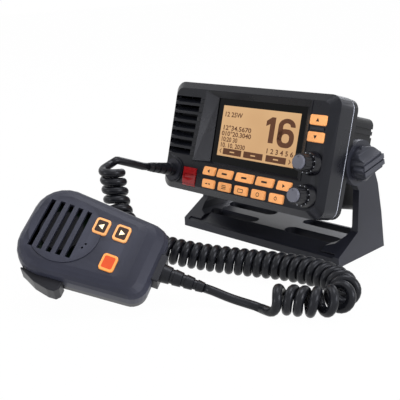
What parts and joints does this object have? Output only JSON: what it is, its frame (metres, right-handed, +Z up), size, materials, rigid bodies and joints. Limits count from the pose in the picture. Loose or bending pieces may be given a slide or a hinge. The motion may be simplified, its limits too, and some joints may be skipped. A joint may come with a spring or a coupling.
{
  "type": "vhf marine radio",
  "caption": "Fixed-mount VHF marine radio with backlit screen, keys and knobs on a gimbal bracket, with a hand microphone on a curly cord.",
  "frame": {"origin": "middle of the four mounting slots, on the underside of the bracket, at the level of the surface it stands on", "axes": "+Z up, -Y towards the user (the face of the radio looks that way, tilted up by 16 degrees), +X to the right of the user"},
  "size_m": [0.239, 0.2687, 0.1313],
  "materials": {
    "housing": "satin",
    "surround": "satin",
    "lens": "gloss",
    "display": "lit",
    "backlight": "matte",
    "circuit_board": "satin",
    "speaker_cone": "matte",
    "gasket": "matte",
    "chassis": "satin",
    "brass_insert": "machined",
    "washer": "matte",
    "socket_metal": "bright",
    "inlet": "satin",
    "gland": "satin",
    "cord_rubber": "satin",
    "red_cover": "satin",
    "lit_key": "lit",
    "orange_key": "satin",
    "shaft_metal": "satin",
    "knob": "satin",
    "knob_cap": "satin",
    "clamp_plastic": "satin",
    "bracket_plastic": "satin",
    "mic_front": "satin",
    "mic_back": "satin",
    "lever": "satin"
  },
  "bodies": {
    "base": {"bracket": "bracket_plastic", "cord_lead": "cord_rubber", "cord_coil": "cord_rubber", "cord_tail": "cord_rubber"},
    "clamp_left": {"clamp_knob_left": "clamp_plastic"},
    "clamp_right": {"clamp_knob_right": "clamp_plastic"},
    "radio": {"front_housing": "housing", "screen_surround": "surround", "screen_lens": "lens", "lcd_panel": "display", "backlight_frame": "backlight", "front_board": "circuit_board", "speaker": "speaker_cone", "case_gasket": "gasket", "rear_chassis": "chassis", "main_board": "circuit_board", "pivot_insert_left": "brass_insert", "pivot_insert_right": "brass_insert", "friction_washer_left": "washer", "friction_washer_right": "washer", "antenna_socket": "socket_metal", "power_inlet": "inlet", "data_inlet": "inlet", "mic_gland": "gland", "radio_boot": "cord_rubber"},
    "soft_key_1": {"soft_key_1": "lit_key"},
    "soft_key_2": {"soft_key_2": "lit_key"},
    "soft_key_3": {"soft_key_3": "lit_key"},
    "soft_key_4": {"soft_key_4": "lit_key"},
    "soft_key_5": {"soft_key_5": "lit_key"},
    "row_key_1": {"row_key_1": "lit_key"},
    "row_key_2": {"row_key_2": "lit_key"},
    "row_key_3": {"row_key_3": "lit_key"},
    "row_key_4": {"row_key_4": "lit_key"},
    "power_key": {"power_key": "lit_key"},
    "channel_up_key": {"channel_up_key": "lit_key"},
    "channel_down_key": {"channel_down_key": "lit_key"},
    "distress_cover": {"distress_cover": "red_cover"},
    "distress_button": {"distress_button": "red_cover"},
    "select_dial": {"select_shaft": "shaft_metal", "select_knob": "knob", "select_cap": "knob_cap"},
    "volume_dial": {"volume_shaft": "shaft_metal", "volume_knob": "knob", "volume_cap": "knob_cap"},
    "mic": {"mic_front_shell": "mic_front", "mic_rear_shell": "mic_back", "mic_speaker": "speaker_cone", "mic_board": "circuit_board", "hanger_stud": "shaft_metal", "mic_cord_block": "lever", "mic_boot": "cord_rubber"},
    "talk_lever": {"talk_lever": "lever"},
    "mic_up_key": {"mic_up_key": "lit_key"},
    "mic_down_key": {"mic_down_key": "lit_key"},
    "mic_power_key": {"mic_power_key": "orange_key"}
  },
  "joints": [
    {"name": "radio_tilt", "type": "hinge", "parent": "base", "child": "radio", "pos_m": [0, -0.01, 0.0773], "axis": [1, 0, 0], "range_deg": [-25, 25], "deforming": ["cord_lead"]},
    {"name": "clamp_left_turn", "type": "hinge", "parent": "base", "child": "clamp_left", "pos_m": [-0.085, -0.01, 0.0773], "axis": [1, 0, 0], "continuous": true},
    {"name": "clamp_right_turn", "type": "hinge", "parent": "base", "child": "clamp_right", "pos_m": [0.085, -0.01, 0.0773], "axis": [1, 0, 0], "continuous": true},
    {"name": "soft_key_1_press", "type": "slide", "parent": "radio", "child": "soft_key_1", "axis": [0, 0.9613, -0.2756], "range_m": [0, 0.0008], "stiffness_N_per_m": 800},
    {"name": "soft_key_2_press", "type": "slide", "parent": "radio", "child": "soft_key_2", "axis": [0, 0.9613, -0.2756], "range_m": [0, 0.0008], "stiffness_N_per_m": 800},
    {"name": "soft_key_3_press", "type": "slide", "parent": "radio", "child": "soft_key_3", "axis": [0, 0.9613, -0.2756], "range_m": [0, 0.0008], "stiffness_N_per_m": 800},
    {"name": "soft_key_4_press", "type": "slide", "parent": "radio", "child": "soft_key_4", "axis": [0, 0.9613, -0.2756], "range_m": [0, 0.0008], "stiffness_N_per_m": 800},
    {"name": "soft_key_5_press", "type": "slide", "parent": "radio", "child": "soft_key_5", "axis": [0, 0.9613, -0.2756], "range_m": [0, 0.0008], "stiffness_N_per_m": 800},
    {"name": "row_key_1_press", "type": "slide", "parent": "radio", "child": "row_key_1", "axis": [0, 0.9613, -0.2756], "range_m": [0, 0.0008], "stiffness_N_per_m": 800},
    {"name": "row_key_2_press", "type": "slide", "parent": "radio", "child": "row_key_2", "axis": [0, 0.9613, -0.2756], "range_m": [0, 0.0008], "stiffness_N_per_m": 800},
    {"name": "row_key_3_press", "type": "slide", "parent": "radio", "child": "row_key_3", "axis": [0, 0.9613, -0.2756], "range_m": [0, 0.0008], "stiffness_N_per_m": 800},
    {"name": "row_key_4_press", "type": "slide", "parent": "radio", "child": "row_key_4", "axis": [0, 0.9613, -0.2756], "range_m": [0, 0.0008], "stiffness_N_per_m": 800},
    {"name": "power_key_press", "type": "slide", "parent": "radio", "child": "power_key", "axis": [0, 0.9613, -0.2756], "range_m": [0, 0.0008], "stiffness_N_per_m": 800},
    {"name": "channel_up_key_press", "type": "slide", "parent": "radio", "child": "channel_up_key", "axis": [0, 0.9613, -0.2756], "range_m": [0, 0.0008], "stiffness_N_per_m": 800},
    {"name": "channel_down_key_press", "type": "slide", "parent": "radio", "child": "channel_down_key", "axis": [0, 0.9613, -0.2756], "range_m": [0, 0.0008], "stiffness_N_per_m": 800},
    {"name": "distress_cover_lift", "type": "hinge", "parent": "radio", "child": "distress_cover", "pos_m": [-0.0505, -0.05905, 0.04954], "axis": [1, 0, 0], "range_deg": [0, 90], "stiffness_Nm_per_rad": 0.002},
    {"name": "distress_button_press", "type": "slide", "parent": "radio", "child": "distress_button", "axis": [0, 0.9613, -0.2756], "range_m": [0, 0.0008], "stiffness_N_per_m": 800},
    {"name": "select_turn", "type": "hinge", "parent": "radio", "child": "select_dial", "pos_m": [0.072, -0.05045, 0.08318], "axis": [0, 0.9613, -0.2756], "continuous": true},
    {"name": "volume_turn", "type": "hinge", "parent": "radio", "child": "volume_dial", "pos_m": [0.072, -0.05706, 0.06011], "axis": [0, 0.9613, -0.2756], "range_deg": [-150, 150]},
    {"name": "mic_lift", "type": "slide", "parent": "base", "child": "mic", "axis": [0, 0, 1], "range_m": [0, 0.06], "deforming": ["cord_tail"]},
    {"name": "talk_lever_squeeze", "type": "hinge", "parent": "mic", "child": "talk_lever", "pos_m": [-0.03872, -0.23097, 0.02847], "axis": [0.5371, -0.4064, 0.7391], "range_deg": [0, 4], "stiffness_Nm_per_rad": 0.6},
    {"name": "mic_up_key_press", "type": "slide", "parent": "mic", "child": "mic_up_key", "axis": [-0.5371, 0.4064, -0.7391], "range_m": [0, 0.0008], "stiffness_N_per_m": 800},
    {"name": "mic_down_key_press", "type": "slide", "parent": "mic", "child": "mic_down_key", "axis": [-0.5371, 0.4064, -0.7391], "range_m": [0, 0.0008], "stiffness_N_per_m": 800},
    {"name": "mic_power_key_press", "type": "slide", "parent": "mic", "child": "mic_power_key", "axis": [-0.5371, 0.4064, -0.7391], "range_m": [0, 0.0008], "stiffness_N_per_m": 800}
  ]
}
